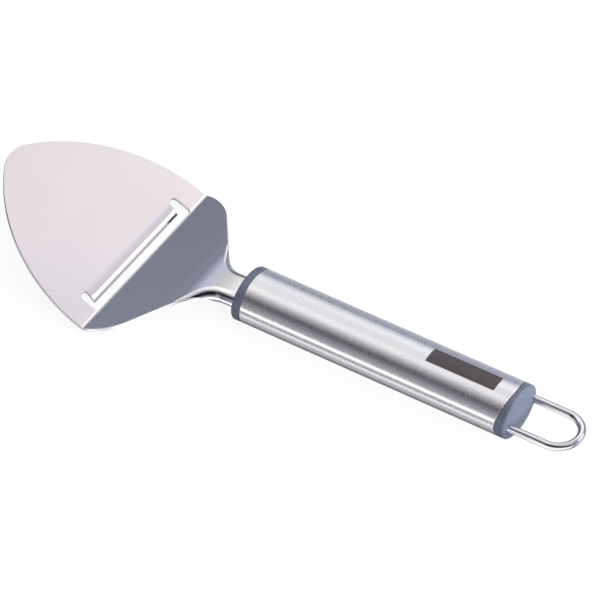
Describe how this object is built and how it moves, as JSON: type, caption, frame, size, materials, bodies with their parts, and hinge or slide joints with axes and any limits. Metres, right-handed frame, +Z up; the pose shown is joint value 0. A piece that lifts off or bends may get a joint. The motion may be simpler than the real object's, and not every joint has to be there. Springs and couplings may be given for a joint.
{
  "type": "cheese slicer",
  "caption": "Hand-held cheese slicer: bent spade blade with a cutting slot, arched neck, oval brushed-steel tube handle with grey plastic ends, and a wire hanging loop.",
  "frame": {"origin": "on the surface that the slicer lies on, under the middle of its overall length and width", "axes": "+X along the handle from the blade to the hanging loop, +Y across the blade, +Z up"},
  "size_m": [0.2426, 0.0826, 0.028],
  "materials": {
    "blade_steel": "stainless steel sheet, rolled and finely polished, with a ground cutting edge",
    "tube_steel": "stainless steel tube, brushed round its girth",
    "pin_steel": "plain drawn steel pin, hidden",
    "loop_wire": "drawn stainless wire, polished bright",
    "grey_plastic": "moulded blue-grey plastic, satin"
  },
  "bodies": {
    "root": {"blade": "blade_steel", "front_collar": "grey_plastic", "tang_pin": "pin_steel", "handle_tube": "tube_steel", "rear_cap": "grey_plastic", "hang_loop": "loop_wire"}
  },
  "joints": []
}
